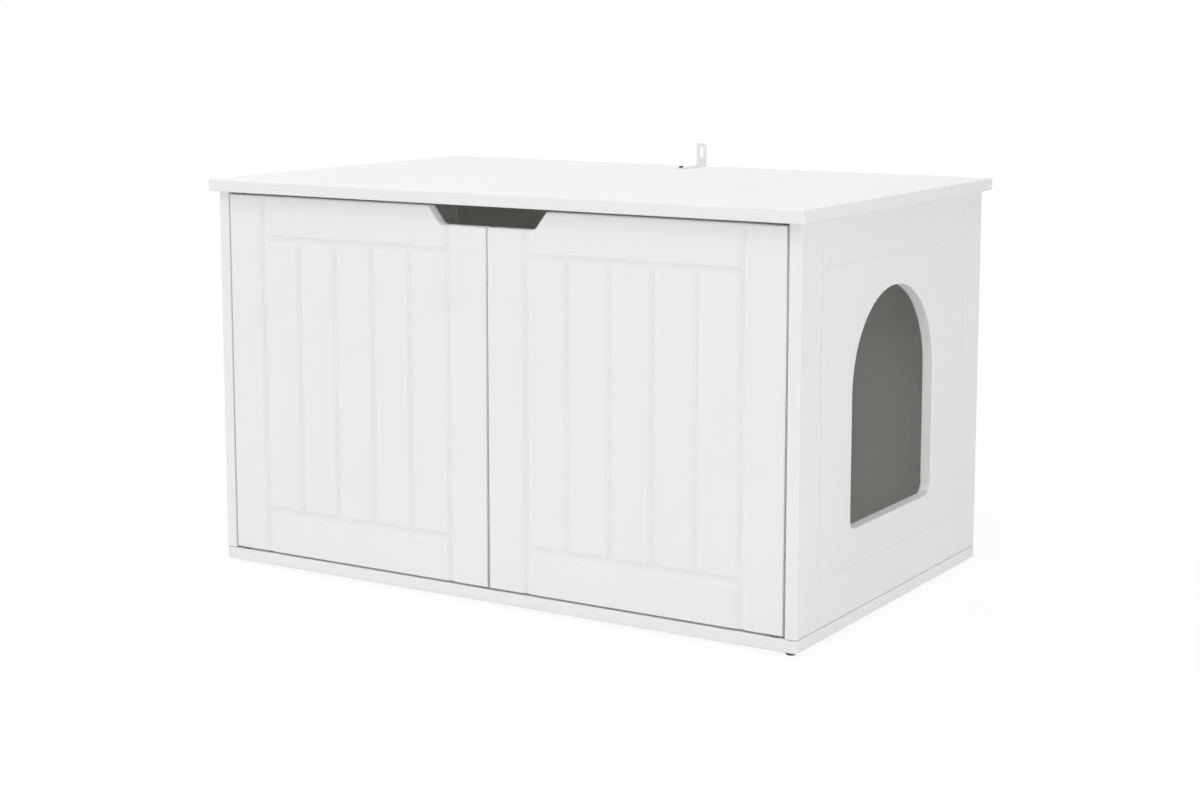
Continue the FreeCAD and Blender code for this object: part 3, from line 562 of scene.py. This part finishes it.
# Side boards: a faint routed frame, and the round-topped entry in the right one
sideBoard = {
    "routing": {"cutter": 20, "depth": 0.4, "facets": 6, "frameWidth": 54, "planks": 1},
    "routingEase": 0.3,
    "easeRadius": 1.5,
    "entry": {
        "width": 230,
        "height": 271,
        "sill": 97,
        "centre": 249.5,  # from the front edge
        "cornerRadius": 13,
        "rimRadius": 2,
        "reach": 0.52,  # half of its size and a little over, to find its faces and edges
    },
    "sillShare": 0.7,  # a face that looks up by more than this is the sill
    "archSteps": 48,
    "cornerSteps": 8,
}


def sheet(bm, corners):
    # a flat face with these corners, which thicken makes a board
    bm.faces.new([bm.verts.new((x, 0, z)) for x, z in corners])


def entryLoop(bm, entry):
    # the entry's outline: over the arch, down a jamb, along the sill and up the other jamb
    half = entry["width"] / 2
    radius = entry["cornerRadius"]
    left, middle, right = entry["centre"] - half, entry["centre"], entry["centre"] + half
    low = entry["sill"]
    spring = low + entry["height"] - half
    archSteps, cornerSteps = sideBoard["archSteps"], sideBoard["cornerSteps"]
    arcs = [  # start, centre, angle, steps
        ((right, spring), (middle, spring), math.pi, archSteps),
        ((left, low + radius), (left + radius, low + radius), math.pi / 2, cornerSteps),
        ((right - radius, low), (right - radius, low + radius), math.pi / 2, cornerSteps),
    ]
    edges, ends = [], []
    for start, centre, angle, steps in arcs:
        first = bm.verts.new((start[0], 0, start[1]))
        before = set(bm.edges)
        last = bmesh.ops.spin(
            bm, geom=[first], cent=(centre[0], 0, centre[1]), axis=(0, -1, 0),
            angle=angle, steps=steps,
        )["geom_last"][0]
        edges += [edge for edge in bm.edges if edge not in before]
        ends.append((first, last))
    for (_, last), (first, _) in zip(ends, ends[1:] + ends[:1]):
        edges.append(bm.edges.new((last, first)))
    return edges


def sidePiece(name, node, onRight):
    low, high, size = nodeSize(node)
    width, thickness, height = size.y, size.x, size.z
    entry = sideBoard["entry"]
    middle = Vector((entry["centre"], 0, entry["sill"] + entry["height"] / 2))
    bm = bmesh.new()
    sheet(bm, [(0, 0), (width, 0), (width, height), (0, height)])
    depthAt = routedFrame(bm, width, height, sideBoard["routing"])
    if onRight:
        field = max(bm.faces, key=lambda face: face.calc_area())
        border = list(field.edges)
        bmesh.ops.delete(bm, geom=[field], context="FACES_ONLY")
        outline = border + entryLoop(bm, entry)
        bmesh.ops.triangle_fill(bm, use_beauty=True, edges=outline, normal=(0, -1, 0))
    thicken(bm, thickness, depthAt)

    def inEntry(spot):
        away = spot - middle
        shares = abs(away.x) / entry["width"], abs(away.z) / entry["height"]
        return onRight and max(shares) < entry["reach"]

    def radiusOf(edge):
        onEntry = inEntry((edge.verts[0].co + edge.verts[1].co) / 2)
        if isRim(edge):
            return entry["rimRadius"] if onEntry else sideBoard["easeRadius"]
        if onEntry:
            return 0
        if edge.calc_face_angle(0) > cornerAngle:
            return sideBoard["easeRadius"]
        return sideBoard["routingEase"] if isRoutedRim(edge, sideBoard["routing"]) else 0

    for face in bm.faces:  # painted light on the jambs and the arch; the sill gets none
        onEdge = abs(face.normal.y) < flatShare and face.normal.z < sideBoard["sillShare"]
        if onEdge and inEntry(face.calc_center_median()):
            face.material_index = 1
    easeEdges(bm, radiusOf, entry["rimRadius"])
    turn = math.pi / 2 if onRight else -math.pi / 2
    corner = (high.x, low.y, low.z) if onRight else (low.x, high.y, low.z)
    piece = boardPiece(bm, name, node, "cabinet", entry["rimRadius"], turn, corner)
    if onRight:
        # the second material: painted light on the entry's jambs and arch
        piece.data.materials.append(paintedLightEdge)
    return piece


sidePiece("rightSideBoard", "right_side_panel", True)
sidePiece("leftSideBoard", "left_side_panel", False)

# Doors: a routed frame and planks, and half of the finger cutout at the free upper corner
doorBoard = {
    "routing": {"cutter": 20, "depth": 2, "facets": 6, "frameWidth": 54, "planks": 5},
    "routingEase": 0.6,
    "easeRadius": 2,
    "gap": 2,  # between the two doors
    "fingerTop": 167,  # width of the whole cutout at its top, over both doors
    "fingerBottom": 134,
    "fingerDepth": 22,
    "fingerCorner": 10,
    "fingerLip": 3,
    "cornerSteps": 6,
}


def roundCorner(bm, spot, radius):
    # a corner of the sheet's outline, rounded to this radius
    place = Vector((spot[0], 0, spot[1]))
    corner = min(bm.verts, key=lambda vert: (vert.co - place).length)
    tangents = [edge.other_vert(corner).co - corner.co for edge in corner.link_edges]
    reach = radius / math.tan(tangents[0].angle(tangents[1]) / 2)
    bmesh.ops.bevel(
        bm, geom=[corner], offset=reach, offset_type="OFFSET", segments=doorBoard["cornerSteps"],
        profile=0.5, affect="VERTICES", material=-1, clamp_overlap=True,
    )


def doorPiece(name, node, body, hingeOnLeft):
    low, _, size = nodeSize(node)
    width, thickness, height = size.x, size.y, size.z
    cutLow = height - doorBoard["fingerDepth"]
    cutEnd = width - (doorBoard["fingerBottom"] - doorBoard["gap"]) / 2
    cutTop = width - (doorBoard["fingerTop"] - doorBoard["gap"]) / 2
    bm = bmesh.new()
    sheet(bm, [
        (0, 0), (width, 0), (width, cutLow), (cutEnd, cutLow), (cutTop, height), (0, height),
    ])
    roundCorner(bm, (cutEnd, cutLow), doorBoard["fingerCorner"])
    for spot in ((width, cutLow), (cutTop, height)):
        roundCorner(bm, spot, doorBoard["fingerLip"])
    depthAt = routedFrame(bm, width, height, doorBoard["routing"])
    thicken(bm, thickness, depthAt)
    if not hingeOnLeft:
        bmesh.ops.scale(bm, vec=(-1, 1, 1), verts=bm.verts[:])
        bmesh.ops.translate(bm, vec=(width, 0, 0), verts=bm.verts[:])
        bmesh.ops.recalc_face_normals(bm, faces=bm.faces[:])

    def radiusOf(edge):
        if isRim(edge):
            return doorBoard["easeRadius"]
        return doorBoard["routingEase"] if isRoutedRim(edge, doorBoard["routing"]) else 0

    easeEdges(bm, radiusOf, doorBoard["easeRadius"])
    return boardPiece(bm, name, node, body, doorBoard["easeRadius"], 0, low)


doorPiece("leftDoorBoard", "left_door", "left_door", True)
doorPiece("rightDoorBoard", "right_door", "right_door", False)
print("boards made")

# Studio, in metres: white surround, a pale floor that keeps a faint shadow, and soft lamps
studio = {
    "surround": 0.16,  # light from the white surround on the object
    "floorColour": "#FAFAFA",
    "floorRadius": 30,
    "floorGlow": 0.9,  # share of plain white in what the camera sees of the floor near the object
    "shadowReach": (0.6, 1.3),  # the floor fades to plain white between these distances
    "aim": (0, 0, 0.25),
    "lampDistance": 6,
    "lampSize": 3.8,
    "lamps": {  # azimuth, elevation, watts
        "leftSoftbox": (-75, 30, 213),
        "frontSoftbox": (30, 20, 83),
        "highSoftbox": (30, 55, 105),
        "rightSoftbox": (90, 10, 94),
        "overheadSoftbox": (180, 76, 114),
    },
}
plainWhite = (1, 1, 1, 1)


def seenRays(tree):
    # 1 for rays that show the background itself: camera, mirror and glass rays
    rays = addNode(tree, "ShaderNodeLightPath")
    mirror = addNode(tree, "ShaderNodeMath", {
        0: rays.outputs["Is Camera Ray"], 1: rays.outputs["Is Glossy Ray"],
    }, operation="MAXIMUM")
    return addNode(tree, "ShaderNodeMath", {
        0: mirror.outputs[0], 1: rays.outputs["Is Transmission Ray"],
    }, operation="MAXIMUM").outputs[0]


world = bpy.data.worlds.new("surround")
scene.world = world
world.use_nodes = True
world.node_tree.nodes.clear()
strength = addNode(world.node_tree, "ShaderNodeMapRange", {
    "Value": seenRays(world.node_tree), "To Min": studio["surround"], "To Max": 1,
})
sky = addNode(world.node_tree, "ShaderNodeBackground", {
    "Color": plainWhite, "Strength": strength.outputs[0],
})
addNode(world.node_tree, "ShaderNodeOutputWorld", {"Surface": sky.outputs[0]})

floorPaper, tree = newMaterial("paperFloor")
spot = addNode(tree, "ShaderNodeTexCoord").outputs["Object"]
away = addNode(tree, "ShaderNodeVectorMath", {0: spot}, operation="LENGTH").outputs["Value"]
white = addNode(tree, "ShaderNodeMapRange", {
    "Value": away, "From Min": studio["shadowReach"][0], "From Max": studio["shadowReach"][1],
    "To Min": studio["floorGlow"], "To Max": 1,
})
matt = addNode(tree, "ShaderNodeBsdfDiffuse", {"Color": linear(studio["floorColour"])})
glow = addNode(tree, "ShaderNodeEmission", {"Color": plainWhite, "Strength": 1})
share = addNode(tree, "ShaderNodeMath", {
    0: seenRays(tree), 1: white.outputs[0],
}, operation="MULTIPLY")
both = addNode(tree, "ShaderNodeMixShader", {
    0: share.outputs[0], 1: matt.outputs[0], 2: glow.outputs[0],
})
addNode(tree, "ShaderNodeOutputMaterial", {"Surface": both.outputs[0]})
bpy.ops.mesh.primitive_circle_add(vertices=64, radius=studio["floorRadius"], fill_type="NGON")
floor = bpy.context.object
floor.name = "floor"
floor.data.materials.append(floorPaper)

for name, (azimuth, elevation, watts) in studio["lamps"].items():
    data = bpy.data.lights.new(name, "AREA")
    data.size = studio["lampSize"]
    data.energy = watts
    around, above = math.radians(azimuth), math.radians(elevation)
    towards = Vector((
        math.sin(around) * math.cos(above), -math.cos(around) * math.cos(above), math.sin(above),
    ))
    light = bpy.data.objects.new(name, data)
    light.location = Vector(studio["aim"]) + towards * studio["lampDistance"]
    light.rotation_euler = towards.to_track_quat("Z", "Y").to_euler()
    light.visible_glossy = False  # the sheen shows the white surround, not the lamps
    scene.collection.objects.link(light)
print("studio lit")

# Camera: seen from the front right, a little above the top
camera = {
    "place": (1.4323, -2.3209, 0.7004),
    "azimuth": 31.719,
    "pitch": 8,
    "imageWidth": 1200,  # pixels, as are the next two
    "focalPixels": 2159.75,
    "shiftPixels": -82.3,
}
lens = bpy.data.cameras.new("camera")
lens.sensor_width = 36
lens.lens = lens.sensor_width * camera["focalPixels"] / camera["imageWidth"]
lens.shift_y = camera["shiftPixels"] / camera["imageWidth"]
eye = bpy.data.objects.new("camera", lens)
eye.location = camera["place"]
eye.rotation_euler = Euler((math.radians(90 - camera["pitch"]), 0, math.radians(camera["azimuth"])))
scene.collection.objects.link(eye)
scene.camera = eye
print("camera placed")

scene.view_settings.view_transform = "Standard"
scene.cycles.diffuse_bounces = 10  # light bounces into the closed cabinet through the entry
